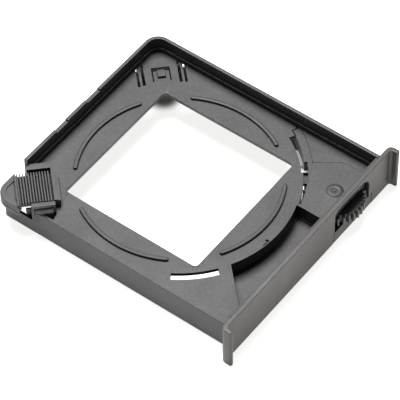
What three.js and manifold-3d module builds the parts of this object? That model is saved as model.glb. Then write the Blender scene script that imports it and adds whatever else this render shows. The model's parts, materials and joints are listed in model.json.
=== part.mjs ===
// Negative carrier: a shallow moulded tray with a square film window, a drawer front with two finger
// lips, a toothed thumbwheel held by a pin and a bottom cover, and a ribbed corner latch that slides.
// Millimetres. +Z up, the tray stands on z = 0, -Y is the drawer front. The pieces are drawn about
// the middle of the film window, and the whole is then moved so that the middle of its bounding box
// lies over the origin.
import * as THREE from "three";
import { mergeVertices } from "three/addons/utils/BufferGeometryUtils.js";
import Module from "manifold-3d";

const wasm = await Module();
wasm.setup();

// Driving dimensions.
const WINDOW = 60; // side of the square film window
const WINDOW_RADIUS = 1.6;
const DECK_TOP = 12.3;
const DECK_THICK = 1.6;
const WALL_TOP = 19.2;
const LEFT = -44.7; // outer faces of the tray
const RIGHT = 47.7;
const BACK = 47.9;
const FRONT = -58.2; // outer face of the drawer front
const PLATE_THICK = 1.9;
const WALL_THICK = 1.5;
const SKIRT_THICK = 1.2;
const GAP = 0.3; // clearance between separate pieces
const TOUCH = 0.02; // between pieces of one body that rest on each other
const THROUGH = 1; // how far a cutting block runs past a face

// The seat of the round film insert.
const RIB_MIDDLE = 38.95;
const RIB_WIDTH = 1.6;
const RIB_HEIGHT = 1.0;
const RIB_HALF_ANGLE = 30;
const SEAT_INNER = 44.85; // radii of the arc slot that runs round the seat
const SEAT_OUTER = 47.7;

// The thumbwheel.
const WHEEL_X = 28.6;
const WHEEL_Y = -49.6;
const WHEEL_TEETH = 34;
const WHEEL_TIP = 11.8;
const WHEEL_ROOT = 10.7;
const WHEEL_LOW = 6.3;
const WHEEL_HIGH = 10.4;
const PIN_RADIUS = 1.5;
const RUNNING_CLEARANCE = 0.05;

// The corner latch: u runs out from the window's middle to the back left corner, v across it.
const LATCH_HALF_WIDTH = 7.15;
const LATCH_INNER_END = 44.7;
const LATCH_SHOULDER = 60.1;
const RAIL_START = 46.9;
const RAIL_END = 55.7;
const RAIL_HEIGHT = 4.5;
const RAIL_INNER = 8.0;
const NEAR_RAIL_OUTER = 9.9;
const FAR_RAIL_OUTER = 10.8;

const DECK_UNDER = DECK_TOP - DECK_THICK;
const PLATE_INNER = FRONT + PLATE_THICK;
const CURVE_STEPS = 10;
const ROUND_STEPS = 48;

const radians = THREE.MathUtils.degToRad;

// --- solids from three.js shapes -----------------------------------------------------------------

function solidOf(geometry) {
  const bare = geometry.index ? geometry.toNonIndexed() : geometry.clone();
  bare.deleteAttribute("normal");
  bare.deleteAttribute("uv");
  const merged = mergeVertices(bare, 1e-4);
  return new wasm.Manifold(
    new wasm.Mesh({
      numProp: 3,
      vertProperties: merged.attributes.position.array,
      triVerts: new Uint32Array(merged.index.array),
    }),
  );
}

function box(x0, x1, y0, y1, z0, z1) {
  const geometry = new THREE.BoxGeometry(x1 - x0, y1 - y0, z1 - z0);
  geometry.translate((x0 + x1) / 2, (y0 + y1) / 2, (z0 + z1) / 2);
  return solidOf(geometry);
}

// An outline drawn in plan and raised from z0 to z1.
function raised(shape, z0, z1, steps = CURVE_STEPS) {
  const geometry = new THREE.ExtrudeGeometry(shape, {
    depth: z1 - z0,
    bevelEnabled: false,
    curveSegments: steps,
  });
  geometry.translate(0, 0, z0);
  return solidOf(geometry);
}

function polygon(points) {
  const shape = new THREE.Shape();
  points.forEach(([x, y], i) => (i ? shape.lineTo(x, y) : shape.moveTo(x, y)));
  shape.closePath();
  return shape;
}

// A rectangle with a radius at each corner, in the order front left, front right, back right, back left.
function roundedRectangle(x0, x1, y0, y1, [frontLeft, frontRight, backRight, backLeft]) {
  const shape = new THREE.Shape();
  const corner = (x, y, radius, start) => {
    if (radius > 0) shape.absarc(x, y, radius, radians(start), radians(start + 90), false);
    else shape.lineTo(x, y);
  };
  shape.moveTo(x0 + frontLeft, y0);
  corner(x1 - frontRight, y0 + frontRight, frontRight, -90);
  corner(x1 - backRight, y1 - backRight, backRight, 0);
  corner(x0 + backLeft, y1 - backLeft, backLeft, 90);
  corner(x0 + frontLeft, y0 + frontLeft, frontLeft, 180);
  shape.closePath();
  return shape;
}

// A band between two radii about the window's middle, from one angle to another, with square ends.
function arcBand(inner, outer, from, to, cx = 0, cy = 0) {
  const shape = new THREE.Shape();
  shape.absarc(cx, cy, outer, radians(from), radians(to), false);
  shape.absarc(cx, cy, inner, radians(to), radians(from), true);
  shape.closePath();
  return shape;
}

// The same band with round ends.
function roundedBand(middle, width, from, to) {
  const shape = new THREE.Shape();
  const half = width / 2;
  const end = (angle) => [middle * Math.cos(radians(angle)), middle * Math.sin(radians(angle))];
  shape.absarc(0, 0, middle + half, radians(from), radians(to), false);
  shape.absarc(...end(to), half, radians(to), radians(to + 180), false);
  shape.absarc(0, 0, middle - half, radians(to), radians(from), true);
  shape.absarc(...end(from), half, radians(from + 180), radians(from + 360), false);
  shape.closePath();
  return shape;
}

function drum(x, y, radius, z0, z1, topRadius = radius) {
  const geometry = new THREE.CylinderGeometry(topRadius, radius, z1 - z0, ROUND_STEPS);
  geometry.rotateX(Math.PI / 2);
  geometry.translate(x, y, (z0 + z1) / 2);
  return solidOf(geometry);
}

// A point at distance along from the window's middle towards a back corner, and across it.
// side is -1 for the back left corner and +1 for the back right one.
function cornerPoint(side, along, across) {
  return [(side * along + across) / Math.SQRT2, (along - side * across) / Math.SQRT2];
}

function cornerBlock(side, along0, along1, across0, across1, z0, z1) {
  const outline = polygon([
    cornerPoint(side, along0, across0),
    cornerPoint(side, along1, across0),
    cornerPoint(side, along1, across1),
    cornerPoint(side, along0, across1),
  ]);
  return raised(outline, z0, z1);
}

const union = (solids) => solids.reduce((whole, piece) => whole.add(piece));
const cut = (solid, tools) => tools.reduce((rest, tool) => rest.subtract(tool), solid);

// --- tray ----------------------------------------------------------------------------------------

const CORNER_RADIUS = 6;
const SMALL_RADIUS = 1.5;
const BACK_WALL_END = -31.5; // the back wall stops here, beside the latch
const NOTCH_START = 34.4; // the left skirt drops here, beside the latch
const LOW_SKIRT_TOP = 5.2;

function trayWalls() {
  const outer = roundedRectangle(LEFT, RIGHT, PLATE_INNER, BACK, [0, 0, CORNER_RADIUS, SMALL_RADIUS]);
  const hollow = roundedRectangle(
    LEFT + SKIRT_THICK,
    RIGHT - WALL_THICK,
    PLATE_INNER - THROUGH,
    BACK - WALL_THICK,
    [0, 0, CORNER_RADIUS - WALL_THICK, 0],
  );
  const ring = cut(raised(outer, 0, WALL_TOP), [raised(hollow, -THROUGH, WALL_TOP + THROUGH)]);
  const aboveLeftSkirt = box(
    LEFT - THROUGH, BACK_WALL_END, PLATE_INNER - THROUGH, BACK + THROUGH, DECK_TOP, WALL_TOP + THROUGH,
  );
  const latchCorner = box(
    LEFT - THROUGH, BACK_WALL_END, NOTCH_START, BACK + THROUGH, LOW_SKIRT_TOP, WALL_TOP + THROUGH,
  );
  return cut(ring, [aboveLeftSkirt, latchCorner, ...backWallNotches()]);
}

// Two shallow dips in the top of the back wall.
const BACK_NOTCHES = [
  [4.3, 12],
  [-14, -7.2],
];
const BACK_NOTCH_DEPTH = 0.8;

function backWallNotches() {
  return BACK_NOTCHES.map(([x0, x1]) =>
    box(x0, x1, BACK - WALL_THICK - THROUGH, BACK + THROUGH, WALL_TOP - BACK_NOTCH_DEPTH, WALL_TOP + THROUGH),
  );
}

function deck() {
  const outline = roundedRectangle(
    LEFT + SMALL_RADIUS / 2,
    RIGHT - WALL_THICK / 2,
    PLATE_INNER,
    BACK - WALL_THICK / 2,
    [0, 0, CORNER_RADIUS - WALL_THICK / 2, 0],
  );
  return raised(outline, DECK_UNDER, DECK_TOP);
}

// The deck ends in a straight edge across the latch corner.
function deckCornerCut() {
  const far = 20;
  return cornerBlock(-1, RAIL_END, RAIL_END + far, -far, far, LOW_SKIRT_TOP, WALL_TOP + THROUGH);
}

function filmWindow() {
  const half = WINDOW / 2;
  const outline = roundedRectangle(-half, half, -half, half, Array(4).fill(WINDOW_RADIUS));
  return raised(outline, DECK_UNDER - THROUGH, DECK_TOP + THROUGH);
}

function insertRibs() {
  return [0, 90, 180, 270].map((middle) =>
    raised(
      roundedBand(RIB_MIDDLE, RIB_WIDTH, middle - RIB_HALF_ANGLE, middle + RIB_HALF_ANGLE),
      DECK_TOP - GAP,
      DECK_TOP + RIB_HEIGHT,
    ),
  );
}

// The slots round the insert's seat: one at the front left, and a stepped one at the right that
// frees a click arm and lets the wheel's teeth through. Angles are in degrees from +X.
const FRONT_SLOT = [-147, -125];
const ARM_ROOT_ANGLE = -27.5;
const ARM_TIP_ANGLE = -44.3;
const ARM_INNER = 46.7;
const ARM_OUTER = 49.0;
const ARM_SLIT = 0.4;
const ARM_SLIT_END = ARM_TIP_ANGLE - 1;
const WIDE_SLOT_OUTER = 47.9;
const WIDE_SLOT_END = -50.4;
const TOOTH_SLOT_OUTER = 46.7;
const TOOTH_SLOT_END = -70.5;

function throughDeck(shape) {
  return raised(shape, DECK_UNDER - THROUGH, DECK_TOP + THROUGH);
}

function seatSlots() {
  const bands = [
    [SEAT_INNER, SEAT_OUTER, ...FRONT_SLOT],
    [SEAT_INNER, ARM_INNER, ARM_TIP_ANGLE, ARM_ROOT_ANGLE],
    [SEAT_INNER, WIDE_SLOT_OUTER, WIDE_SLOT_END, ARM_TIP_ANGLE],
    [ARM_OUTER, ARM_OUTER + ARM_SLIT, ARM_SLIT_END, ARM_ROOT_ANGLE],
    [WIDE_SLOT_OUTER - GAP, ARM_OUTER + ARM_SLIT / 2, ARM_SLIT_END, ARM_TIP_ANGLE],
    [SEAT_INNER, TOOTH_SLOT_OUTER, TOOTH_SLOT_END, WIDE_SLOT_END],
  ];
  return bands.map(([inner, outer, from, to]) => throughDeck(arcBand(inner, outer, from, to)));
}

// The slot's outer edge tapers in where the teeth begin.
const TAPER_ANGLE = 6.5;

function toothSlotTaper() {
  const at = (radius, angle) => [radius * Math.cos(radians(angle)), radius * Math.sin(radians(angle))];
  const outline = polygon([
    at(SEAT_INNER + GAP, WIDE_SLOT_END + GAP),
    at(SEAT_INNER + GAP, WIDE_SLOT_END - TAPER_ANGLE),
    at(TOOTH_SLOT_OUTER - GAP, WIDE_SLOT_END - TAPER_ANGLE),
    at(SEAT_OUTER, WIDE_SLOT_END + GAP),
  ]);
  return throughDeck(outline);
}

// The finger recess in front of the seat: an arc at the back, a slanted end at the left, a square
// end at the right, open to the drawer front.
const RECESS_DEPTH = 6.6;
const RECESS_LEFT_ANGLE = -118.6;
const RECESS_RIGHT = 15;
const RECESS_WALL = 1.2;
const RECESS_FLOOR = 1.4;

function recessOutline(grow) {
  const radius = SEAT_INNER - grow;
  const right = RECESS_RIGHT + grow;
  const front = PLATE_INNER - (grow ? 0 : THROUGH);
  const cornerX = SEAT_INNER * Math.cos(radians(RECESS_LEFT_ANGLE));
  const cornerY = SEAT_INNER * Math.sin(radians(RECESS_LEFT_ANGLE));
  const diagonal = cornerX - cornerY - grow * Math.SQRT2; // x - y along the slanted end
  const meet = -Math.PI / 4 - Math.acos(diagonal / (radius * Math.SQRT2));
  const shape = new THREE.Shape();
  shape.moveTo(front + diagonal, front);
  shape.lineTo(radius * Math.cos(meet), radius * Math.sin(meet));
  shape.absarc(0, 0, radius, meet, -Math.acos(right / radius), false);
  shape.lineTo(right, front);
  shape.closePath();
  return shape;
}

function recessShell() {
  const bottom = DECK_TOP - RECESS_DEPTH - RECESS_FLOOR;
  return raised(recessOutline(RECESS_WALL), bottom, DECK_TOP);
}

function recessHollow() {
  return raised(recessOutline(0), DECK_TOP - RECESS_DEPTH, DECK_TOP + THROUGH);
}

// The corner latch's seat: two raised rails with the deck's slots for the latch's legs between them,
// and a hole beside the near rail.
const LEG_SLOT_INNER = 5.9;
const LEG_SLOT_OUTER = 7.3;
const LEG_SLOT_START = 45.3;
const LEG_SLOT_END = 54.9;

function latchRails() {
  const rail = (across0, across1) =>
    cornerBlock(-1, RAIL_START, RAIL_END, across0, across1, DECK_UNDER, DECK_TOP + RAIL_HEIGHT);
  return [rail(-NEAR_RAIL_OUTER, -RAIL_INNER), rail(RAIL_INNER, FAR_RAIL_OUTER)];
}

// A block at one distance across from the corner's middle line, on the side hand = -1 or +1.
function handedBlock(side, hand, along0, along1, across0, across1, z0, z1) {
  const [low, high] = hand < 0 ? [-across1, -across0] : [across0, across1];
  return cornerBlock(side, along0, along1, low, high, z0, z1);
}

function cornerSlot(side, hand, along0, along1, across0, across1) {
  return handedBlock(side, hand, along0, along1, across0, across1, DECK_UNDER - THROUGH, DECK_TOP + THROUGH);
}

function latchLegSlots() {
  return [-1, 1].map((hand) =>
    cornerSlot(-1, hand, LEG_SLOT_START, LEG_SLOT_END, LEG_SLOT_INNER, LEG_SLOT_OUTER),
  );
}

const HOLE_BEND = [48, -12.6]; // along and across
const HOLE_SHORT_OF_RAIL = 1;

function nearRailHole() {
  const inside = LEFT + SKIRT_THICK;
  const bend = cornerPoint(-1, ...HOLE_BEND);
  const [, endY] = cornerPoint(-1, RAIL_END - HOLE_SHORT_OF_RAIL, -NEAR_RAIL_OUTER);
  const outline = polygon([
    cornerPoint(-1, RAIL_START - GAP, -NEAR_RAIL_OUTER),
    [inside, endY],
    [inside, bend[1]],
    bend,
  ]);
  return throughDeck(outline);
}

// The back right corner holds the same kind of seat, empty: two pairs of slots and a sprung tongue
// with a square bump.
const EMPTY_SLOTS = [
  [46.8, 58.2, 6.5, 7.6], // along from, along to, across from, across to
  [46.4, 57.4, 8.6, 9.5],
];
const TONGUE_HALF_WIDTH = 3.1;
const TONGUE_ROOT = 48.1;
const TONGUE_END = 53.4;
const TONGUE_SLIT = 0.6;
const TONGUE_END_GAP = 1.8;
const BUMP_START = 49.7;
const BUMP_HALF_WIDTH = 1.5;
const BUMP_HEIGHT = 1;

function emptySeatCuts() {
  const reach = TONGUE_HALF_WIDTH + TONGUE_SLIT;
  const slits = [...EMPTY_SLOTS, [TONGUE_ROOT, TONGUE_END + THROUGH, TONGUE_HALF_WIDTH, reach]];
  const endGap = cornerSlot(1, 1, TONGUE_END, TONGUE_END + TONGUE_END_GAP, -reach, reach);
  return [-1, 1].flatMap((hand) => slits.map((slit) => cornerSlot(1, hand, ...slit))).concat(endGap);
}

function tongueBump() {
  const end = TONGUE_END - GAP;
  const top = DECK_TOP + BUMP_HEIGHT;
  return cornerBlock(1, BUMP_START, end, -BUMP_HALF_WIDTH, BUMP_HALF_WIDTH, DECK_TOP - GAP, top);
}

// A low domed boss carries the wheel's pin, inside a plot of the deck that lies a little lower.
const PLOT_DROP = 0.4;
const PLOT_TOP = DECK_TOP - PLOT_DROP;
const PLOT_LEFT = 16.6;
const PLOT_RIGHT = 41.9;
const BOSS_TOP = PLOT_TOP + 1;
const BOSS_RADIUS = 3.7;
const BOSS_TOP_RADIUS = 2.6;

function wheelPlot() {
  const outline = polygon([
    [PLOT_LEFT, PLATE_INNER - THROUGH],
    [PLOT_RIGHT, PLATE_INNER - THROUGH],
    [PLOT_RIGHT, -44.6],
    [34.9, -34.9],
    [23, -41.5],
    [PLOT_LEFT, -46],
  ]);
  return raised(outline, PLOT_TOP, DECK_TOP + THROUGH);
}

function wheelBoss() {
  return drum(WHEEL_X, WHEEL_Y, BOSS_RADIUS, PLOT_TOP - GAP, BOSS_TOP, BOSS_TOP_RADIUS);
}

function pinHole() {
  return drum(WHEEL_X, WHEEL_Y, PIN_RADIUS + RUNNING_CLEARANCE, DECK_UNDER - THROUGH, BOSS_TOP + THROUGH);
}

// A small angled mark beside the finger recess, sunk into the deck.
const MARK_OUTER = 44.5;
const MARK_LINE = 0.5;
const MARK_ARM = 1.5;
const MARK_ANGLES = [-100, -96];
const MARK_CORNER_ANGLE = -96.9;

function indexMark() {
  const [from, to] = MARK_ANGLES;
  const along = arcBand(MARK_OUTER - MARK_LINE, MARK_OUTER, from, to);
  const across = arcBand(MARK_OUTER - MARK_ARM, MARK_OUTER - MARK_LINE / 2, MARK_CORNER_ANGLE, to);
  return [along, across].map((shape) => raised(shape, DECK_TOP - MARK_LINE, DECK_TOP + THROUGH));
}

function tray() {
  const deckPlate = cut(union([deck(), recessShell()]), [deckCornerCut(), filmWindow(), wheelPlot()]);
  const body = union([deckPlate, trayWalls(), ...latchRails(), ...insertRibs(), tongueBump(), wheelBoss()]);
  return cut(body, [
    ...seatSlots(),
    toothSlotTaper(),
    recessHollow(),
    ...latchLegSlots(),
    nearRailHole(),
    ...emptySeatCuts(),
    pinHole(),
    ...indexMark(),
  ]);
}

// --- drawer front --------------------------------------------------------------------------------

const TRAY_MIDDLE = (LEFT + RIGHT) / 2;
const LIP_REACH = 52.4; // half the length over both finger lips
const LIP_OUT = 2.9; // how far a lip stands out of the front face
const LIP_THICK = 1.7;
const LIP_BEND = 1.2;
const END_BEND = 2.6; // the round outer corner behind a lip
const LIP_STEPS = 5;
const STRAIGHT_REACH = 41; // half the length of the plain middle stretch
const WHEEL_OPENING = [16.2, 40.5];
const OPENING_TOP = 16;

// One end of the drawer front in plan: the plate bends forwards into a lip with a round bead.
function frontEnd(hand) {
  const x = (distance) => TRAY_MIDDLE + hand * distance;
  const lipInner = LIP_REACH - LIP_THICK;
  const beadMiddle = LIP_REACH - LIP_THICK / 2;
  const lipFront = FRONT - LIP_OUT;
  const beadBack = lipFront + LIP_THICK / 2;
  const shape = new THREE.Shape();
  shape.moveTo(x(STRAIGHT_REACH - THROUGH), FRONT);
  shape.lineTo(x(lipInner - LIP_BEND), FRONT);
  shape.quadraticCurveTo(x(lipInner), FRONT, x(lipInner), FRONT - LIP_BEND);
  shape.lineTo(x(lipInner), beadBack);
  shape.quadraticCurveTo(x(lipInner), lipFront, x(beadMiddle), lipFront);
  shape.quadraticCurveTo(x(LIP_REACH), lipFront, x(LIP_REACH), beadBack);
  shape.lineTo(x(LIP_REACH), PLATE_INNER - END_BEND);
  shape.quadraticCurveTo(x(LIP_REACH), PLATE_INNER, x(LIP_REACH - END_BEND), PLATE_INNER);
  shape.lineTo(x(STRAIGHT_REACH - THROUGH), PLATE_INNER);
  shape.closePath();
  return raised(shape, 0, WALL_TOP, LIP_STEPS);
}

function frontPlate() {
  const left = TRAY_MIDDLE - STRAIGHT_REACH;
  const right = TRAY_MIDDLE + STRAIGHT_REACH;
  const plate = box(left, right, FRONT, PLATE_INNER, 0, WALL_TOP);
  const [openLeft, openRight] = WHEEL_OPENING;
  const opening = box(openLeft, openRight, FRONT - THROUGH, PLATE_INNER + THROUGH, -THROUGH, OPENING_TOP);
  return cut(union([plate, frontEnd(-1), frontEnd(1)]), [opening]);
}

// --- thumbwheel, its pin and its cover -------------------------------------------------------------

const TOOTH_FOOT = 0.36; // half widths of a tooth, as parts of the pitch
const TOOTH_CROWN = 0.2;
const HUB_RADIUS = 3.4;
const END_PLAY = 0.15;
const COVER_TOP = 5.8;
const COVER_THICK = 1.5;
const COVER_UNDER = COVER_TOP - COVER_THICK;

function thumbwheel() {
  const pitch = 360 / WHEEL_TEETH;
  const at = (radius, angle) => [
    WHEEL_X + radius * Math.cos(radians(angle)),
    WHEEL_Y + radius * Math.sin(radians(angle)),
  ];
  const points = [];
  for (let tooth = 0; tooth < WHEEL_TEETH; tooth++) {
    const middle = tooth * pitch;
    points.push(at(WHEEL_ROOT, middle - pitch * TOOTH_FOOT));
    points.push(at(WHEEL_TIP, middle - pitch * TOOTH_CROWN));
    points.push(at(WHEEL_TIP, middle + pitch * TOOTH_CROWN));
    points.push(at(WHEEL_ROOT, middle + pitch * TOOTH_FOOT));
  }
  const toothed = raised(polygon(points), WHEEL_LOW, WHEEL_HIGH);
  const hub = drum(WHEEL_X, WHEEL_Y, HUB_RADIUS, COVER_TOP + END_PLAY, DECK_UNDER - END_PLAY);
  const bore = drum(WHEEL_X, WHEEL_Y, PIN_RADIUS + RUNNING_CLEARANCE, 0, WALL_TOP);
  return cut(union([toothed, hub]), [bore]);
}

const PIN_HEAD_RADIUS = 3;
const PIN_HEAD_THICK = 1.2;
const PIN_SUNK = 0.6; // below the boss's top
const NIB_RADIUS = 0.55;
const NIB_TOP_RADIUS = 0.4;
const NIB_HEIGHT = 0.5;

function wheelPin() {
  const top = BOSS_TOP - PIN_SUNK;
  const head = drum(WHEEL_X, WHEEL_Y, PIN_HEAD_RADIUS, COVER_UNDER - PIN_HEAD_THICK, COVER_UNDER - TOUCH);
  const stem = drum(WHEEL_X, WHEEL_Y, PIN_RADIUS, COVER_UNDER - GAP, top);
  const nib = drum(WHEEL_X, WHEEL_Y, NIB_RADIUS, top - GAP, top + NIB_HEIGHT, NIB_TOP_RADIUS);
  return union([head, stem, nib]);
}

// The cover closes the wheel's housing from below, its front strip fills the opening under the wheel,
// and its side wall stands up to the deck.
const HOUSING_INNER = 12.4;
const HOUSING_OUTER = 13.6;
const HOUSING_ANGLES = [-25, 70];
const COVER_REACH = 8; // how far the floor runs back past the pin

function wheelCover() {
  const [openLeft, openRight] = WHEEL_OPENING;
  const left = openLeft + GAP;
  const right = openRight - GAP;
  const strip = box(left, right, FRONT, PLATE_INNER, GAP, COVER_TOP);
  const floor = box(left, right, PLATE_INNER - GAP, WHEEL_Y + COVER_REACH, COVER_UNDER, COVER_TOP);
  const sideBand = arcBand(HOUSING_INNER, HOUSING_OUTER, ...HOUSING_ANGLES, WHEEL_X, WHEEL_Y);
  const side = raised(sideBand, COVER_UNDER, DECK_UNDER - TOUCH);
  const footBand = arcBand(WHEEL_ROOT, HOUSING_OUTER, ...HOUSING_ANGLES, WHEEL_X, WHEEL_Y);
  const sideFoot = raised(footBand, COVER_UNDER, COVER_TOP);
  const bore = drum(WHEEL_X, WHEEL_Y, PIN_RADIUS + RUNNING_CLEARANCE, 0, WALL_TOP);
  return cut(union([strip, floor, sideFoot, side]), [bore]);
}

// --- corner latch ----------------------------------------------------------------------------------

const LATCH_BOTTOM = DECK_TOP + GAP;
const LATCH_TOP = DECK_TOP + 4;
const GRIP_RIBS = 12;
const GRIP_START = 47.2;
const GRIP_GROOVE = 0.45; // a groove's share of the pitch
const GRIP_DEPTH = 0.8;
const NOSE_TOP = DECK_TOP + 1.3;
const NOSE_BOTTOM = DECK_TOP - 2.2;
const NOSE_OUT = 1.2; // how far the nose stands out of the tray's two outer faces
const NOSE_RADIUS = 6;
const DIMPLE_INSET = 2.2;
const DIMPLE_DEPTH = 0.8;

function noseOutline(inset) {
  const left = LEFT - NOSE_OUT + inset;
  const back = BACK + NOSE_OUT - inset;
  const radius = NOSE_RADIUS - inset;
  const shoulder = LATCH_SHOULDER * Math.SQRT2; // y - x along the shoulder
  const shape = new THREE.Shape();
  shape.moveTo(left, shoulder + left);
  shape.lineTo(back - shoulder, back);
  shape.lineTo(left + radius, back);
  shape.absarc(left + radius, back - radius, radius, Math.PI / 2, Math.PI, false);
  shape.closePath();
  return shape;
}

function latchGripCuts() {
  const pitch = (LATCH_SHOULDER - GRIP_START) / GRIP_RIBS;
  const reach = LATCH_HALF_WIDTH + THROUGH;
  const floor = LATCH_TOP - GRIP_DEPTH;
  const cuts = [];
  for (let rib = 0; rib < GRIP_RIBS; rib++) {
    const from = GRIP_START + rib * pitch;
    cuts.push(cornerBlock(-1, from, from + pitch * GRIP_GROOVE, -reach, reach, floor, LATCH_TOP + THROUGH));
  }
  return cuts;
}

// Two legs go through the deck's slots and hook under it.
const LEG_START = 50.1;
const LEG_END = 54.1;
const LEG_INNER = 6.1;
const LEG_OUTER = 7.0;
const HOOK_INNER = 5.0;
const LEG_BOTTOM = DECK_UNDER - 1.5;

function latchLegs() {
  const block = (hand, inner, top) =>
    handedBlock(-1, hand, LEG_START, LEG_END, inner, LEG_OUTER, LEG_BOTTOM, top);
  return [-1, 1].flatMap((hand) => [
    block(hand, LEG_INNER, LATCH_BOTTOM + GAP),
    block(hand, HOOK_INNER, DECK_UNDER - GAP),
  ]);
}

function latchNose() {
  const farSide = 2 * LATCH_SHOULDER;
  const edge = LATCH_SHOULDER + THROUGH;
  const insideEdge = cornerBlock(-1, 0, edge, -farSide, farSide, 0, WALL_TOP);
  const dimple = cut(raised(noseOutline(DIMPLE_INSET), NOSE_TOP - DIMPLE_DEPTH, WALL_TOP), [insideEdge]);
  return cut(raised(noseOutline(0), NOSE_BOTTOM, NOSE_TOP), [dimple]);
}

function latchSlider() {
  const half = LATCH_HALF_WIDTH;
  const rootEnd = LATCH_SHOULDER + THROUGH;
  const grip = cornerBlock(-1, LATCH_INNER_END, rootEnd, -half, half, LATCH_BOTTOM, LATCH_TOP);
  const root = cornerBlock(-1, LATCH_SHOULDER, rootEnd, -half, half, NOSE_TOP - GAP, LATCH_TOP);
  return union([cut(grip, latchGripCuts()), latchNose(), root, ...latchLegs()]);
}

// --- the assembly ----------------------------------------------------------------------------------

function mesh(name, solid, colour, roughness) {
  const { numProp, vertProperties, triVerts } = solid.getMesh();
  const positions = new Float32Array((vertProperties.length / numProp) * 3);
  for (let i = 0; i * numProp < vertProperties.length; i++)
    positions.set(vertProperties.subarray(i * numProp, i * numProp + 3), i * 3);
  const geometry = new THREE.BufferGeometry();
  geometry.setAttribute("position", new THREE.BufferAttribute(positions, 3));
  geometry.setIndex(new THREE.BufferAttribute(triVerts, 1));
  geometry.computeVertexNormals();
  const material = new THREE.MeshStandardMaterial({ color: colour, roughness, flatShading: true });
  const result = new THREE.Mesh(geometry, material);
  result.name = name;
  return result;
}

const carrier = new THREE.Group();
carrier.name = "negative_carrier";
carrier.add(
  mesh("tray", tray(), 0x3c3c3d, 0.62),
  mesh("front_plate", frontPlate(), 0x3d3b3a, 0.5),
  mesh("thumbwheel", thumbwheel(), 0x2c2c2c, 0.55),
  mesh("wheel_pin", wheelPin(), 0x3a3a3b, 0.5),
  mesh("wheel_cover", wheelCover(), 0x3b3a39, 0.55),
  mesh("latch_slider", latchSlider(), 0x39393b, 0.6),
);

const middle = new THREE.Box3().setFromObject(carrier).getCenter(new THREE.Vector3());
carrier.position.set(-middle.x, -middle.y, 0);

export default carrier;
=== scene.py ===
"""The looks of a moulded negative carrier: tray, drawer front, thumbwheel, its pin and cover, corner latch.

Shapes are worked out in millimetres about the middle of the film window, with z = 0 on the floor,
and each finished piece is then put into the frame in metres.
"""

import json
import math

import bmesh
import bpy
from mathutils import Matrix, Vector
from mathutils.geometry import delaunay_2d_cdt


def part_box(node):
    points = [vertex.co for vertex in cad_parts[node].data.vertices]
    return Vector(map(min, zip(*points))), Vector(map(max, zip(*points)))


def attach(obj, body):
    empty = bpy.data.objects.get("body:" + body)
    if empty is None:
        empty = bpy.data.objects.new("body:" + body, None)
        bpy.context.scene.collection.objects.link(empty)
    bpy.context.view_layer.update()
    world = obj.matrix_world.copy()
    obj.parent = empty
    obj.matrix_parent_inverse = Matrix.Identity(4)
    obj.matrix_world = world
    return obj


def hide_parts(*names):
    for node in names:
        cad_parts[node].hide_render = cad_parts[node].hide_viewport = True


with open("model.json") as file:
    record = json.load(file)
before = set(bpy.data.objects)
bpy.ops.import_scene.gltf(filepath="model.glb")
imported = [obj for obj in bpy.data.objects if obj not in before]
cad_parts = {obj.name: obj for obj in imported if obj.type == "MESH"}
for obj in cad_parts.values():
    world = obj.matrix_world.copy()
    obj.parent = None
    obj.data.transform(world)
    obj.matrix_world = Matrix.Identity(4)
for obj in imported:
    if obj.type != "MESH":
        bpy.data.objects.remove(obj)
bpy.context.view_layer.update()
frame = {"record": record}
MM = 0.001

# --- what the frame says ---------------------------------------------------------------------------

record = frame["record"]
openings = {entry["name"]: entry["box_m"] for entry in record["physics"]["openings"]}
mounts = {entry["name"]: entry for entry in record["mounts"]}
window_low, window_high = (Vector(corner) for corner in openings["film_window"])
CENTRE = Vector(((window_low.x + window_high.x) / 2, (window_low.y + window_high.y) / 2, 0))


def node_box(name):
    """The node's lowest and highest corner, in millimetres about the window's middle."""
    low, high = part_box(name)
    return (low - CENTRE) / MM, (high - CENTRE) / MM


tray_low, tray_high = node_box("tray")
plate_low, plate_high = node_box("front_plate")
wheel_low, wheel_high = node_box("thumbwheel")
pin_low, pin_high = node_box("wheel_pin")
cover_low, cover_high = node_box("wheel_cover")
latch_low, latch_high = node_box("latch_slider")

RAIL_OVERHANG = 1.69  # a corner of the latch's near rail stands out past the left skirt
LEFT, RIGHT = tray_low.x + RAIL_OVERHANG, tray_high.x
PLATE_INNER, BACK = tray_low.y, tray_high.y
WALL_TOP = tray_high.z
RIB_HEIGHT = 1.0
DECK_TOP = mounts["insert_seat"]["pos_m"][2] / MM - RIB_HEIGHT
FRONT = (Vector(mounts["front_face"]["pos_m"]) - CENTRE).y / MM
WINDOW_MARGIN = 0.5  # the opening's box stops this far short of the window's edge
WINDOW_HALF = (window_high.x - window_low.x) / 2 / MM + WINDOW_MARGIN
WHEEL_X = (wheel_low.x + wheel_high.x) / 2
WHEEL_Y = (wheel_low.y + wheel_high.y) / 2
WHEEL_TIP = (wheel_high.x - wheel_low.x) / 2

DECK_THICK = 1.6
DECK_UNDER = DECK_TOP - DECK_THICK
WALL_THICK = 1.5
SKIRT_THICK = 1.2
THROUGH = 1.0
OVERLAP = 0.3

# --- outlines --------------------------------------------------------------------------------------

ARC_STEP = math.radians(2.5)


def arc(cx, cy, radius, start, end):
    """Points along an arc, with angles in degrees."""
    start, end = math.radians(start), math.radians(end)
    count = max(2, math.ceil(abs(end - start) / ARC_STEP))
    angles = [start + (end - start) * i / count for i in range(count + 1)]
    return [(cx + radius * math.cos(a), cy + radius * math.sin(a)) for a in angles]


def sweep(radius_at, start, end):
    """Points about the window's middle whose radius changes with the angle."""
    count = max(2, math.ceil(abs(math.radians(end - start)) / ARC_STEP))
    angles = [start + (end - start) * i / count for i in range(count + 1)]
    return [
        (radius_at(a) * math.cos(math.radians(a)), radius_at(a) * math.sin(math.radians(a)))
        for a in angles
    ]


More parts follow.
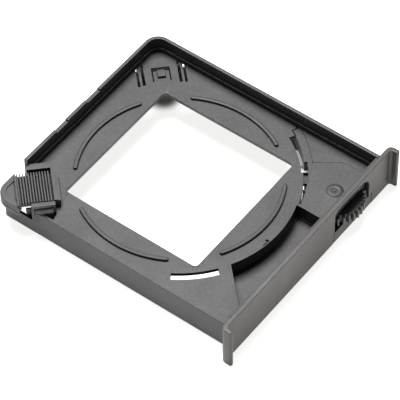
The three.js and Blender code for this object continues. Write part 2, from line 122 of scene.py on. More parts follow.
def band(inner, outer, start, end, cx=0.0, cy=0.0):
    """Part of a ring, with square ends."""
    return arc(cx, cy, outer, start, end) + arc(cx, cy, inner, end, start)


def round_band(middle, width, start, end):
    """A band with round ends."""
    half = width / 2
    tip = [middle * math.cos(math.radians(end)), middle * math.sin(math.radians(end))]
    tail = [middle * math.cos(math.radians(start)), middle * math.sin(math.radians(start))]
    points = arc(0, 0, middle + half, start, end)
    points += arc(*tip, half, end + 10, end + 170)
    points += arc(0, 0, middle - half, end, start)
    points += arc(*tail, half, start + 190, start + 350)
    return points


def rectangle(x0, x1, y0, y1):
    return [(x0, y0), (x1, y0), (x1, y1), (x0, y1)]


def round_rectangle(x0, x1, y0, y1, radius):
    return (
        arc(x1 - radius, y0 + radius, radius, -90, 0)
        + arc(x1 - radius, y1 - radius, radius, 0, 90)
        + arc(x0 + radius, y1 - radius, radius, 90, 180)
        + arc(x0 + radius, y0 + radius, radius, 180, 270)
    )


def corner_point(side, along, across):
    """A point along the line from the window's middle to the back left (-1) or back right (+1) corner."""
    return ((side * along + across) / math.sqrt(2), (along - side * across) / math.sqrt(2))


def corner_rectangle(side, along0, along1, across0, across1):
    return [
        corner_point(side, along0, across0),
        corner_point(side, along1, across0),
        corner_point(side, along1, across1),
        corner_point(side, along0, across1),
    ]


def handed(side, hand, along0, along1, across0, across1):
    """A corner rectangle on one side (hand -1 or 1) of the diagonal."""
    low, high = (across0, across1) if hand > 0 else (-across1, -across0)
    return corner_rectangle(side, along0, along1, low, high)


# --- solids ----------------------------------------------------------------------------------------

EDGE = 0.18  # the moulding's usual edge radius


def weld(mesh, distance=1e-4):
    work = bmesh.new()
    work.from_mesh(mesh)
    bmesh.ops.remove_doubles(work, verts=work.verts, dist=distance)
    bmesh.ops.dissolve_degenerate(work, edges=work.edges, dist=distance)
    bmesh.ops.recalc_face_normals(work, faces=work.faces)
    work.to_mesh(mesh)
    work.free()


def object_of(mesh, name="work"):
    made = bpy.data.objects.new(name, mesh)
    bpy.context.scene.collection.objects.link(made)
    return made


def mesh_of(source):
    """The object's mesh with its modifiers applied. The object itself is removed."""
    bpy.context.view_layer.update()
    graph = bpy.context.evaluated_depsgraph_get()
    mesh = bpy.data.meshes.new_from_object(source.evaluated_get(graph))
    bpy.data.objects.remove(source)
    return mesh


def inset_directions(loop):
    """For each corner of a loop, how far the corner moves when both its sides move inwards by 1."""
    moves = []
    for i, corner in enumerate(loop):
        before = (corner - loop[i - 1]).normalized()
        after = (loop[(i + 1) % len(loop)] - corner).normalized()
        normal = Vector((-before.y - after.y, before.x + after.x))
        moves.append(normal / max(0.3, 1 + before.dot(after)))
    return moves


def turned(outline, anticlockwise):
    """The outline as vectors, in the asked sense of turning."""
    loop = [Vector(point) for point in outline]
    area = sum(loop[i - 1].cross(loop[i]) for i in range(len(loop)))
    return loop if (area > 0) == anticlockwise else loop[::-1]


def fill_triangles(points, sides):
    """The triangles that fill the loops, with what lies inside an even number of them left open."""
    filled = delaunay_2d_cdt(points, sides, [], 0, 1e-6)
    if len(filled[0]) != len(points):
        raise ValueError("the outlines of a slab cross")
    originals = [found[0] for found in filled[3]]
    kept = []
    for face in filled[2]:
        corners = [originals[i] for i in face]
        middle = sum((points[i] for i in corners), Vector((0, 0))) / 3
        crossings = 0
        for i, j in sides:
            a, b = points[i], points[j]
            if (a.y > middle.y) != (b.y > middle.y):
                crossings += a.x + (b.x - a.x) * (middle.y - a.y) / (b.y - a.y) > middle.x
        if crossings % 2:
            kept.append(corners)
    return kept


def slab(outline, z0, z1, holes=(), edge=EDGE):
    """A flat plate with rounded edges, from its outline and the outlines of its holes."""
    work = bmesh.new()
    turns = [math.radians(angle) for angle in (0, 45, 90)]
    low_rows = [(edge * (1 - math.sin(t)), z0 + edge * (1 - math.cos(t))) for t in turns]
    rows = low_rows + [(inset, z0 + z1 - z) for inset, z in reversed(low_rows)]
    flat, rims, low_ring, high_ring = [], [], [], []
    for loop in [turned(outline, True)] + [turned(hole, False) for hole in holes]:
        moves = inset_directions(loop)
        rings = []
        for inset, z in rows:
            corners = [point + move * inset for point, move in zip(loop, moves)]
            rings.append([work.verts.new((*corner, z)) for corner in corners])
        count = len(loop)
        for below, above in zip(rings, rings[1:]):
            for i in range(count):
                j = (i + 1) % count
                work.faces.new((below[i], below[j], above[j], above[i]))
        first = len(flat)
        flat += [vert.co.to_2d() for vert in rings[0]]
        rims += [(first + i, first + (i + 1) % count) for i in range(count)]
        low_ring += rings[0]
        high_ring += rings[-1]
    for corners in fill_triangles(flat, rims):
        work.faces.new([low_ring[i] for i in reversed(corners)])
        work.faces.new([high_ring[i] for i in corners])
    mesh = bpy.data.meshes.new("slab")
    work.to_mesh(mesh)
    work.free()
    return object_of(mesh)


def block(outline, z0, z1):
    """A plain prism, for cutting."""
    work = bmesh.new()
    low = [work.verts.new((x, y, z0)) for x, y in outline]
    high = [work.verts.new((x, y, z1)) for x, y in outline]
    count = len(outline)
    work.faces.new(low)
    work.faces.new(high)
    for i in range(count):
        work.faces.new((low[i], low[(i + 1) % count], high[(i + 1) % count], high[i]))
    bmesh.ops.recalc_face_normals(work, faces=work.faces)
    mesh = bpy.data.meshes.new("block")
    work.to_mesh(mesh)
    work.free()
    return object_of(mesh)


def lathe(x, y, profile, segments=64):
    """A turned solid from (radius, z) pairs that start and end on the axis."""
    work = bmesh.new()
    rings = []
    for radius, z in profile:
        if radius == 0:
            rings.append([work.verts.new((x, y, z))])
            continue
        turns = [2 * math.pi * i / segments for i in range(segments)]
        circle = [(x + radius * math.cos(t), y + radius * math.sin(t), z) for t in turns]
        rings.append([work.verts.new(point) for point in circle])
    for a, b in zip(rings, rings[1:]):
        for i in range(segments):
            j = (i + 1) % segments
            corners = [a[i % len(a)], a[j % len(a)], b[j % len(b)], b[i % len(b)]]
            work.faces.new(list(dict.fromkeys(corners)))
    bmesh.ops.recalc_face_normals(work, faces=work.faces)
    mesh = bpy.data.meshes.new("turned")
    work.to_mesh(mesh)
    work.free()
    return object_of(mesh)


def bore(radius):
    """A drill along the wheel's axis, for cutting."""
    return lathe(WHEEL_X, WHEEL_Y, [(0, -THROUGH), (radius, -THROUGH), (radius, WALL_TOP), (0, WALL_TOP)])


def combine(base, others, operation):
    """Joins or cuts the solids one after the other; each of the others is used up."""
    for other in others:
        modifier = base.modifiers.new("combine", "BOOLEAN")
        modifier.operation = operation
        modifier.solver = "EXACT"
        modifier.object = other
        mesh = mesh_of(base)
        bpy.data.objects.remove(other)
        weld(mesh)
        base = object_of(mesh)
    return base


def join(first, *others):
    return combine(first, others, "UNION")


def cut(first, *others):
    return combine(first, others, "DIFFERENCE")


SMOOTH_ANGLE = math.radians(32)


def finish_piece(work, name, node, body, material):
    """Puts a finished solid into the frame, in metres, in place of its CAD node."""
    mesh = mesh_of(work)
    mesh.transform(Matrix.Translation(CENTRE) @ Matrix.Scale(MM, 4))
    mesh.materials.clear()
    mesh.materials.append(material)
    mesh.shade_smooth()
    mesh.set_sharp_from_angle(angle=SMOOTH_ANGLE)
    piece = object_of(mesh, name)
    normals = piece.modifiers.new("flat_faces_stay_flat", "WEIGHTED_NORMAL")
    normals.keep_sharp = True
    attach(piece, body)
    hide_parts(node)
    return piece


# --- materials -------------------------------------------------------------------------------------


def moulded_plastic(name, dark, light, roughness, grain_size, grain_depth, edge_wear_and_highlight=0.4):
    """Dark moulded plastic: a fine spark-eroded grain, soft mottling, edges rubbed a little paler with a
    painted highlight, and painted shade in crevices.
    """
    material = bpy.data.materials.new(name)
    material.use_nodes = True
    nodes, links = material.node_tree.nodes, material.node_tree.links
    shader = nodes["Principled BSDF"]
    place = nodes.new("ShaderNodeTexCoord").outputs["Object"]

    def noise(size, detail=2.0, rough=0.5):
        texture = nodes.new("ShaderNodeTexNoise")
        texture.inputs["Scale"].default_value = 1 / size
        texture.inputs["Detail"].default_value = detail
        texture.inputs["Roughness"].default_value = rough
        links.new(place, texture.inputs["Vector"])
        return texture.outputs["Fac"]

    def ranged(value, from_low, from_high, to_low, to_high):
        node = nodes.new("ShaderNodeMapRange")
        node.inputs["From Min"].default_value = from_low
        node.inputs["From Max"].default_value = from_high
        node.inputs["To Min"].default_value = to_low
        node.inputs["To Max"].default_value = to_high
        links.new(value, node.inputs["Value"])
        return node.outputs["Result"]

    def mixed(factor, first, second):
        node = nodes.new("ShaderNodeMix")
        node.data_type = "RGBA"
        links.new(factor, node.inputs["Factor"])
        for socket, value in ((node.inputs["A"], first), (node.inputs["B"], second)):
            if isinstance(value, tuple):
                socket.default_value = (*value, 1)
            else:
                links.new(value, socket)
        return node.outputs["Result"]

    grain = noise(grain_size, 3.0, 0.6)
    mottle = noise(14 * MM, 3.0)
    colour = mixed(ranged(mottle, 0.3, 0.7, 0.3, 0.7), dark, light)
    speck = ranged(grain, 0.3, 0.7, 0, 1)
    colour = mixed(ranged(speck, 0.35, 1, 0, 0.6), colour, tuple(channel * 1.9 for channel in light))

    # Edges, where the surface turns within a short distance, are rubbed paler: partly wear, partly a painted
    # highlight.
    rounded = nodes.new("ShaderNodeBevel")
    rounded.samples = 4
    rounded.inputs["Radius"].default_value = 0.35 * MM
    geometry = nodes.new("ShaderNodeNewGeometry")
    compare = nodes.new("ShaderNodeVectorMath")
    compare.operation = "DOT_PRODUCT"
    links.new(rounded.outputs["Normal"], compare.inputs[0])
    links.new(geometry.outputs["Normal"], compare.inputs[1])
    worn_and_highlit_edges = ranged(compare.outputs["Value"], 0.98, 0.8, 0, edge_wear_and_highlight)
    colour = mixed(worn_and_highlit_edges, colour, tuple(channel * 2.2 for channel in light))

    # Painted shade in crevices: where ambient occlusion finds nearby surfaces, the colour is darkened and the
    # specular level lowered.
    crevice = nodes.new("ShaderNodeAmbientOcclusion")
    crevice.samples = 6
    crevice.inputs["Distance"].default_value = 1.6 * MM
    shade = ranged(crevice.outputs["AO"], 0.25, 0.8, 0.92, 0)
    gloss = ranged(crevice.outputs["AO"], 0.25, 0.8, 0.04, 0.5)
    links.new(gloss, shader.inputs["Specular IOR Level"])
    colour = mixed(shade, colour, tuple(channel * 0.25 for channel in dark))
    links.new(colour, shader.inputs["Base Color"])

    links.new(ranged(mottle, 0.3, 0.7, roughness - 0.04, roughness + 0.05), shader.inputs["Roughness"])
    bump = nodes.new("ShaderNodeBump")
    bump.inputs["Strength"].default_value = 0.6
    bump.inputs["Distance"].default_value = grain_depth
    links.new(grain, bump.inputs["Height"])
    links.new(bump.outputs["Normal"], shader.inputs["Normal"])
    return material


GREY = (0.040, 0.040, 0.041)
PALE_GREY = (0.050, 0.050, 0.052)
WARM_GREY = (0.043, 0.040, 0.038)
PALE_WARM_GREY = (0.052, 0.048, 0.046)
COVER_GREY = (0.041, 0.039, 0.038)
PALE_COVER_GREY = (0.050, 0.047, 0.046)
LATCH_GREY = (0.034, 0.034, 0.036)
PALE_LATCH_GREY = (0.044, 0.044, 0.046)
WHEEL_BLACK = (0.016, 0.016, 0.015)
WHEEL_GREY = (0.130, 0.128, 0.125)
tray_plastic = moulded_plastic("tray_plastic", GREY, PALE_GREY, 0.52, 0.7 * MM, 0.05 * MM)
plate_plastic = moulded_plastic("plate_plastic", WARM_GREY, PALE_WARM_GREY, 0.45, 0.6 * MM, 0.01 * MM)
wheel_plastic = moulded_plastic("wheel_plastic", WHEEL_BLACK, WHEEL_GREY, 0.45, 0.4 * MM, 0.015 * MM)
cover_plastic = moulded_plastic("cover_plastic", COVER_GREY, PALE_COVER_GREY, 0.48, 0.5 * MM, 0.012 * MM)
# The latch's edges are paler still: partly wear, partly a painted highlight on the rib tops.
latch_plastic = moulded_plastic(
    "latch_plastic", LATCH_GREY, PALE_LATCH_GREY, 0.5, 0.45 * MM, 0.02 * MM, edge_wear_and_highlight=0.9
)

# --- tray ------------------------------------------------------------------------------------------

CORNER_RADIUS = 6.0
SKIRT_CORNER_RADIUS = 1.5
BACK_WALL_END = -31.5
NOTCH_START = 33.6
LOW_SKIRT_TOP = 6.5
PLINTH_THICK = 0.5
PLINTH_HEIGHT = 2.1
LINING_THICK = 1.3
FRONT_WALL_THICK = 0.8
SEAT_INNER = 44.85
RAIL_START, RAIL_END = 46.9, 55.7
RAIL_HEIGHT = 4.5
RAIL_FOOT = 8.0
RAIL_INNER, NEAR_RAIL_OUTER, FAR_RAIL_OUTER = 8.0, 9.9, 10.8


def wall_strip(thickness):
    """The L-shaped plan of the right and back walls, drawn inwards from their outer faces."""
    corner = (RIGHT - CORNER_RADIUS, BACK - CORNER_RADIUS)
    return (
        [(RIGHT - thickness, PLATE_INNER), (RIGHT, PLATE_INNER)]
        + arc(*corner, CORNER_RADIUS, 0, 90)
        + [(BACK_WALL_END, BACK), (BACK_WALL_END, BACK - thickness)]
        + arc(*corner, CORNER_RADIUS - thickness, 90, 0)
    )


def high_walls():
    """The right and back walls, with a low ledge inside, a lining under the deck and two dips in the top."""
    walls = slab(wall_strip(WALL_THICK), 0, WALL_TOP, edge=0.35)
    plinth = slab(wall_strip(WALL_THICK + PLINTH_THICK), DECK_UNDER, DECK_TOP + PLINTH_HEIGHT, edge=0.12)
    lining = slab(wall_strip(WALL_THICK + LINING_THICK), 0, DECK_UNDER + OVERLAP, edge=0.15)
    walls = join(walls, plinth, lining)
    dip_bottom = WALL_TOP - 0.8
    dips = []
    for x0, x1 in ((4.3, 12.0), (-14.0, -7.2)):
        outline = rectangle(x0, x1, BACK - WALL_THICK - THROUGH, BACK + THROUGH)
        dips.append(slab(outline, dip_bottom, WALL_TOP + THROUGH))
    return cut(walls, *dips)


def wall_ports():
    """Two small ports through the outer walls, below the deck at the empty latch seat."""
    top = DECK_TOP - 0.4
    right = block(rectangle(RIGHT - 4, RIGHT + THROUGH, 32.6, 35.3), 7.8, top)
    back = block(rectangle(32.6, 35.4, BACK - 4, BACK + THROUGH), 5.8, top)
    return [right, back]


def front_wall():
    """The tray's own front wall, just behind the drawer front and open in front of the wheel."""
    outline = rectangle(LEFT + 0.4, RIGHT - 0.4, PLATE_INNER, PLATE_INNER + FRONT_WALL_THICK)
    wall = slab(outline, DECK_UNDER, WALL_TOP - 0.45, edge=0.15)
    notch = block(rectangle(16.2, 40.6, PLATE_INNER - 1, PLATE_INNER + 2), 0, DECK_TOP - 0.6)
    return cut(wall, notch)


def left_skirt():
    """The left side wall: as high as the deck, then low round the latch's corner."""
    high = slab(rectangle(LEFT, LEFT + SKIRT_THICK, PLATE_INNER, NOTCH_START), 0, DECK_TOP, edge=0.3)
    inner_x, inner_y = LEFT + SKIRT_THICK, BACK - WALL_THICK
    corner = (LEFT + SKIRT_CORNER_RADIUS, BACK - SKIRT_CORNER_RADIUS)
    low_outline = (
        [(LEFT, NOTCH_START - THROUGH), (inner_x, NOTCH_START - THROUGH), (inner_x, inner_y)]
        + [(BACK_WALL_END + THROUGH, inner_y), (BACK_WALL_END + THROUGH, BACK)]
        + arc(*corner, SKIRT_CORNER_RADIUS, 90, 180)
    )
    return join(high, slab(low_outline, 0, LOW_SKIRT_TOP, edge=0.15))


def deck_outline():
    """Plan of the deck, just inside the walls' outer faces, cut off straight at the latch's corner."""
    inset = 0.2
    left, right, back = LEFT + inset, RIGHT - inset, BACK - inset
    edge_sum = RAIL_END * math.sqrt(2)  # y - x along the deck's end across the latch corner
    return (
        [(left, PLATE_INNER), (right, PLATE_INNER)]
        + arc(right - CORNER_RADIUS, back - CORNER_RADIUS, CORNER_RADIUS, 0, 90)
        + [(back - edge_sum, back), (left, edge_sum + left)]
    )


# The slots round the seat, with angles in degrees from +X.
ARM_ROOT, ARM_TIP = -28.0, -44.3
WIDE_SLOT_END = -50.4
TOOTH_SLOT_START, TOOTH_SLOT_END = -57.2, -69.8
TOOTH_SLOT_INNER = 45.5


def arm_inner(angle):
    """The click arm leans in towards its tip."""
    share = (angle - ARM_ROOT) / (ARM_TIP - ARM_ROOT)
    return 47.4 - 0.9 * share


def arm_outer(angle):
    """The arm keeps its width from root to tip."""
    return arm_inner(angle) + 3.1


def click_arm_slot():
    """The slot on the inner side of the click arm, wider past the arm's tip."""
    return (
        sweep(arm_inner, ARM_ROOT, ARM_TIP)
        + arc(0, 0, 47.7, ARM_TIP, WIDE_SLOT_END)
        + arc(0, 0, SEAT_INNER, WIDE_SLOT_END, ARM_ROOT)
    )


def tooth_slot():
    """The slot that shows the wheel's teeth; it narrows towards the finger recess."""
    widest = 46.9
    outer = sweep(lambda a: widest + 0.06 * (a - TOOTH_SLOT_START), TOOTH_SLOT_START, TOOTH_SLOT_END)
    return outer + arc(0, 0, TOOTH_SLOT_INNER, TOOTH_SLOT_END, TOOTH_SLOT_START)


def slot_pocket():
    """A shallow pocket between the click arm's slot and the tooth slot."""
    outline = band(TOOTH_SLOT_INNER, 47.35, WIDE_SLOT_END - 0.5, TOOTH_SLOT_START + 0.5)
    return block(outline, DECK_TOP - 1.1, DECK_TOP + THROUGH)


def arm_root_slit():
    """The zigzag slit that frees the click arm's root."""
    path = [
        (47.3, -28.3), (47.3, -24.6), (49.6, -24.6), (49.6, -22.6),
        (50.1, -22.6), (50.1, -25.2), (47.75, -25.2), (47.75, -28.3),
    ]
    outline = [(radius * math.cos(math.radians(a)), radius * math.sin(math.radians(a))) for radius, a in path]
    return block(outline, DECK_UNDER - THROUGH, DECK_TOP + THROUGH)


def latch_leg_slot(hand):
    """A leg of the latch runs in this slot, which is open at the corner."""
    outline = handed(-1, hand, 45.3, RAIL_END + THROUGH, 5.9, 7.3)
    return block(outline, DECK_UNDER - THROUGH, DECK_TOP + THROUGH)


def near_rail_hole():
    """The opening in the deck between the near rail and the left skirt."""
    inside = LEFT + SKIRT_THICK
    bend = corner_point(-1, 48, -12.6)
    end_y = corner_point(-1, RAIL_END - 1, -NEAR_RAIL_OUTER)[1]
    return [corner_point(-1, RAIL_START - 0.3, -NEAR_RAIL_OUTER), (inside, end_y), (inside, bend[1]), bend]


TONGUE_HALF = 3.1
TONGUE_ROOT, TONGUE_END = 48.1, 53.4


def tongue_gap():
    """The U-shaped gap that frees the sprung tongue in the empty corner seat."""
    slit = 0.45
    end_gap = 1.8
    outer = TONGUE_HALF + slit
    far = TONGUE_END + end_gap
    path = [(TONGUE_ROOT, -outer), (far, -outer), (far, outer), (TONGUE_ROOT, outer)]
    path += [(TONGUE_ROOT, TONGUE_HALF), (TONGUE_END, TONGUE_HALF)]
    path += [(TONGUE_END, -TONGUE_HALF), (TONGUE_ROOT, -TONGUE_HALF)]
    return [corner_point(1, along, across) for along, across in path]


def empty_seat_slots():
    """Two pairs of slots where a second latch could sit."""
    slots = [(46.8, 57.6, 6.5, 7.6), (46.4, 56.0, 8.6, 9.5)]
    return [handed(1, hand, *slot) for hand in (-1, 1) for slot in slots]


RECESS_DEPTH = 6.6
RECESS_LEFT_ANGLE = -118.6
RECESS_RIGHT = 15.0
RECESS_WALL = 1.2
RECESS_FLOOR = 1.4


def recess_outline(grow, front):
    """Plan of the finger recess: an arc behind, a slanted left end and a square right end."""
    radius = SEAT_INNER - grow
    right = RECESS_RIGHT + grow
    corner = math.radians(RECESS_LEFT_ANGLE)
    diagonal = SEAT_INNER * (math.cos(corner) - math.sin(corner)) - grow * math.sqrt(2)
    meet = -45 - math.degrees(math.acos(diagonal / (radius * math.sqrt(2))))
    end = -math.degrees(math.acos(right / radius))
    return [(front + diagonal, front)] + arc(0, 0, radius, meet, end) + [(right, front)]


def deck():
    """The deck with the film window and every slot."""
    holes = [
        round_rectangle(-WINDOW_HALF, WINDOW_HALF, -WINDOW_HALF, WINDOW_HALF, 1.6),
        band(SEAT_INNER, 47.7, -147, -125),
        click_arm_slot(),
        tooth_slot(),
        near_rail_hole(),
        tongue_gap(),
        *empty_seat_slots(),
        recess_outline(0, PLATE_INNER + 0.4),
    ]
    plate = slab(deck_outline(), DECK_UNDER, DECK_TOP, holes, edge=0.12)
    return cut(plate, slot_pocket(), arm_root_slit(), latch_leg_slot(-1), latch_leg_slot(1))


def recess():
    """The tub of the finger recess, with a small ledge round the foot of its wall."""
    bottom = DECK_TOP - RECESS_DEPTH - RECESS_FLOOR
    body = block(recess_outline(RECESS_WALL, PLATE_INNER), bottom, DECK_TOP - 0.2)
    floor = DECK_TOP - RECESS_DEPTH
    hollow = slab(recess_outline(0, PLATE_INNER - THROUGH), floor, DECK_TOP + THROUGH, edge=0.15)
    ledge = slab(recess_outline(RECESS_WALL / 2, PLATE_INNER), floor - 0.5, floor + 0.7, edge=0.15)
    inside = block(recess_outline(-0.55, PLATE_INNER - THROUGH), floor - THROUGH, DECK_TOP)
    return join(cut(body, hollow), cut(ledge, inside))


RIB_RADIUS = 38.95
RIB_WIDTH = 1.6
RIB_HALF_ANGLE = 30


def insert_ribs():
    """Four curved ribs on which the film insert turns."""
    ribs = []
    for middle in (0, 90, 180, 270):
        outline = round_band(RIB_RADIUS, RIB_WIDTH, middle - RIB_HALF_ANGLE, middle + RIB_HALF_ANGLE)
        ribs.append(slab(outline, DECK_TOP - OVERLAP, DECK_TOP + RIB_HEIGHT, edge=0.45))
    return ribs


def latch_rails():
    """Two rails that guide the latch, the far one a little wider."""
    rails = []
    for low, high in ((-NEAR_RAIL_OUTER, -RAIL_INNER), (RAIL_INNER, FAR_RAIL_OUTER)):
        outline = corner_rectangle(-1, RAIL_START, RAIL_END, low, high)
        rails.append(slab(outline, RAIL_FOOT, DECK_TOP + RAIL_HEIGHT, edge=0.2))
    return rails


def near_rail_window():
    """The near rail is a bridge: a thin top between two posts."""
    outline = handed(-1, -1, RAIL_START + 0.7, RAIL_END - 0.8, RAIL_INNER - 0.5, FAR_RAIL_OUTER)
    return block(outline, DECK_TOP - 0.1, DECK_TOP + RAIL_HEIGHT - 1.2)


def corner_webs():
    """Stiffening webs under the latch: a tall one under the deck and a low one on to the skirt."""
    tall = slab(corner_rectangle(-1, 43, 55.5, -4.8, -4.0), 0.2, DECK_UNDER + OVERLAP, edge=0.15)
    low = slab(corner_rectangle(-1, 55, 57.6, -4.78, -4.02), 0.22, NOSE_BOTTOM - 0.2, edge=0.15)
    return [tall, low]


def tongue_bump():
    """The square bump near the tongue's tip."""
    outline = corner_rectangle(1, 49.7, TONGUE_END - 0.3, -1.5, 1.5)
    return slab(outline, DECK_TOP - OVERLAP, DECK_TOP + 1, edge=0.2)


PLOT_DROP = 0.12
PLOT_TOP = DECK_TOP - PLOT_DROP
BOSS_HEIGHT = 0.6
PIN_HOLE = 1.05  # where the pin's neck shows in the boss


def wheel_plot():
    """The slightly sunk area of the deck over the wheel."""
    front = PLATE_INNER + FRONT_WALL_THICK
    left = 16.6
    right = 41.9
    outline = [(left, front), (right, front), (right, -44.6), (34.9, -34.9), (23, -41.5), (left, -46)]
    return block(outline, PLOT_TOP, DECK_TOP + THROUGH)


def wheel_boss():
    """A low dome with a shallow dish round the pin's neck."""
    top = PLOT_TOP + BOSS_HEIGHT
    dish = top - 0.2
    profile = [(0, PLOT_TOP - OVERLAP), (3.6, PLOT_TOP - OVERLAP), (3.6, PLOT_TOP), (3.3, PLOT_TOP + 0.1)]
    profile += [(2.9, PLOT_TOP + 0.3), (2.4, top - 0.08), (2.0, top), (1.5, top - 0.08)]
    profile += [(1.2, dish), (0, dish)]
    return lathe(WHEEL_X, WHEEL_Y, profile)


def pin_hole():
    """The hole through the boss for the pin's neck."""
    return bore(PIN_HOLE)


def arm_wall():
    """The click arm is deeper than the deck along its inner side."""
    outline = sweep(lambda a: arm_inner(a) + 0.05, ARM_ROOT, ARM_TIP)
    outline += sweep(lambda a: arm_inner(a) + 1.1, ARM_TIP, ARM_ROOT)
    return slab(outline, 7.0, DECK_TOP - 0.3, edge=0.1)


def arm_groove():
    """The hairline along the click arm's outer side."""
    half = 0.09
    outline = sweep(lambda a: arm_outer(a) + half, -24.5, ARM_TIP - 1.2)
    outline += sweep(lambda a: arm_outer(a) - half, ARM_TIP - 1.2, -24.5)
    return block(outline, DECK_TOP - 0.5, DECK_TOP + THROUGH)


def index_mark():
    """A small notched mark on the edge of the finger recess."""
    along = block(band(44.0, 44.5, -100, -96), DECK_TOP - 0.4, DECK_TOP + THROUGH)
    across = block(band(43.1, 44.25, -97.2, -95.9), DECK_TOP - 0.7, DECK_TOP + THROUGH)
    return [along, across]


def tray():
    """The whole moulding."""
    body = join(deck(), recess(), high_walls(), front_wall(), left_skirt())
    body = join(body, *latch_rails(), *corner_webs(), *insert_ribs(), tongue_bump(), arm_wall())
    body = cut(body, wheel_plot(), near_rail_window(), *wall_ports())
    body = join(body, wheel_boss())
    return cut(body, pin_hole(), arm_groove(), *index_mark())


# --- drawer front ----------------------------------------------------------------------------------

PLATE_MIDDLE = (plate_low.x + plate_high.x) / 2
LIP_REACH = (plate_high.x - plate_low.x) / 2
LIP_THICK = 1.7
LIP_BEND = 1.2
END_BEND = 2.6
WHEEL_OPENING = (cover_low.x - 0.3, 40.5)
OPENING_TOP = 17.4
PLATE_EDGE = 0.3
STRIP_TOP = 5.8  # top of the cover's strip


def quadratic(start, control, end, count=6):
    """Points along a curve from start to end that bends towards the control point; start is left out."""
    points = []
    for i in range(1, count + 1):
        t = i / count
        shares = ((1 - t) ** 2, 2 * t * (1 - t), t * t)
        ends = zip(start, control, end)
        points.append(tuple(shares[0] * a + shares[1] * b + shares[2] * c for a, b, c in ends))
    return points


def front_end():
    """The right half of the drawer front in plan, from its middle to the bead of its finger lip."""
    lip_inner = LIP_REACH - LIP_THICK
    bead_middle = LIP_REACH - LIP_THICK / 2
    lip_front = plate_low.y
    bead_back = lip_front + LIP_THICK / 2
    points = [(0, FRONT), (lip_inner - LIP_BEND, FRONT)]
    points += quadratic(points[-1], (lip_inner, FRONT), (lip_inner, FRONT - LIP_BEND))
    points += [(lip_inner, bead_back)]
    points += quadratic(points[-1], (lip_inner, lip_front), (bead_middle, lip_front))
    points += quadratic(points[-1], (LIP_REACH, lip_front), (LIP_REACH, bead_back))
    points += [(LIP_REACH, PLATE_INNER - END_BEND)]
    points += quadratic(points[-1], (LIP_REACH, PLATE_INNER), (LIP_REACH - END_BEND, PLATE_INNER))
    return points


def wheel_window():
    """The opening over the wheel: a straight top that curves down at both ends, more on the right."""
    left = WHEEL_OPENING[0] + 0.4
    right = 38.4
    foot = 5.0
    left_bend = 2.4
    right_bend = 5.4
    outline = [(left, foot), (right, foot)]
    outline += arc(right - right_bend, OPENING_TOP - right_bend, right_bend, 0, 90)
    outline += arc(left + left_bend, OPENING_TOP - left_bend, left_bend, 90, 180)
    mesh = mesh_of(block(outline, FRONT - 2, PLATE_INNER + 2))
    mesh.transform(Matrix(((1, 0, 0, 0), (0, 0, 1, 0), (0, 1, 0, 0), (0, 0, 0, 1))))
    weld(mesh)
    return object_of(mesh)


def front_plate():
    """The drawer front, with the wheel's opening and the slot for the cover's strip below it."""
    right = front_end()
    outline = [(PLATE_MIDDLE + x, y) for x, y in right]
    outline += [(PLATE_MIDDLE - x, y) for x, y in reversed(right[1:])]
    plate = slab(outline, 0, WALL_TOP, edge=PLATE_EDGE)
    left, right_edge = WHEEL_OPENING
    strip_plan = rectangle(left, right_edge, FRONT - 2, PLATE_INNER + 2)
    strip_slot = block(strip_plan, -THROUGH, cover_low.z + STRIP_TOP)
    return cut(plate, strip_slot, wheel_window())


# --- thumbwheel, pin and cover ---------------------------------------------------------------------

WHEEL_TEETH = 34
WHEEL_ROOT = WHEEL_TIP - 1.5
SHAFT_HOLE = 1.55
HUB_RADIUS = 3.4
RIM_LOW, RIM_HIGH = 6.3, 10.4


def thumbwheel():
    """A flat toothed rim on a hub."""
    pitch = 360 / WHEEL_TEETH
    corners = ((WHEEL_ROOT, -0.28), (WHEEL_TIP, -0.13), (WHEEL_TIP, 0.13), (WHEEL_ROOT, 0.28))
    outline = []
    for tooth in range(WHEEL_TEETH):
        middle = tooth * pitch
        for radius, share in corners:
            angle = math.radians(middle + share * pitch)
            outline.append((WHEEL_X + radius * math.cos(angle), WHEEL_Y + radius * math.sin(angle)))
    rim = slab(outline, RIM_LOW, RIM_HIGH, edge=0.14)
    hub_profile = [(0, wheel_low.z), (HUB_RADIUS, wheel_low.z), (HUB_RADIUS, wheel_high.z), (0, wheel_high.z)]
    hub = lathe(WHEEL_X, WHEEL_Y, hub_profile)
    return cut(join(rim, hub), bore(SHAFT_HOLE))


def wheel_pin():
    """A headed pin, stepped to a neck that ends in a small dome."""
    low, high = pin_low.z, pin_high.z
    neck = PIN_HOLE - 0.05
    shoulder = DECK_UNDER - 0.1
    top = high - 0.3
    head = 3.0
    head_top = low + 1.18
    profile = [(0, low), (head - 0.2, low), (head, low + 0.2), (head, low + 1.0), (head - 0.2, head_top)]
    profile += [(1.5, head_top), (1.5, shoulder - 0.1), (1.4, shoulder), (neck, shoulder)]
    profile += [(neck, top - 0.12), (neck - 0.12, top)]
    profile += [(0.65, top), (0.55, top + 0.1), (0.45, high - 0.05), (0.3, high), (0, high)]
    return lathe(WHEEL_X, WHEEL_Y, profile)


def wheel_cover():
    """The strip under the wheel's opening, a floor under the wheel and a curved wall round its right side."""
    left, right = WHEEL_OPENING[0] + 0.3, WHEEL_OPENING[1] - 0.3
    top = STRIP_TOP
    under = top - 1.5
    strip = slab(rectangle(left, right, FRONT, PLATE_INNER), cover_low.z, top, edge=0.15)
    floor = slab(rectangle(left, right, PLATE_INNER - 0.5, WHEEL_Y + 8), under, top - 0.02, edge=0.15)
    foot = slab(band(WHEEL_ROOT, 13.6, -25, 70, WHEEL_X, WHEEL_Y), under + 0.02, top - 0.04, edge=0.15)
    side = slab(band(12.4, 13.58, -25, 70, WHEEL_X, WHEEL_Y), under + 0.04, cover_high.z, edge=0.15)
    return cut(join(strip, floor, foot, side), bore(SHAFT_HOLE))


# --- corner latch ----------------------------------------------------------------------------------

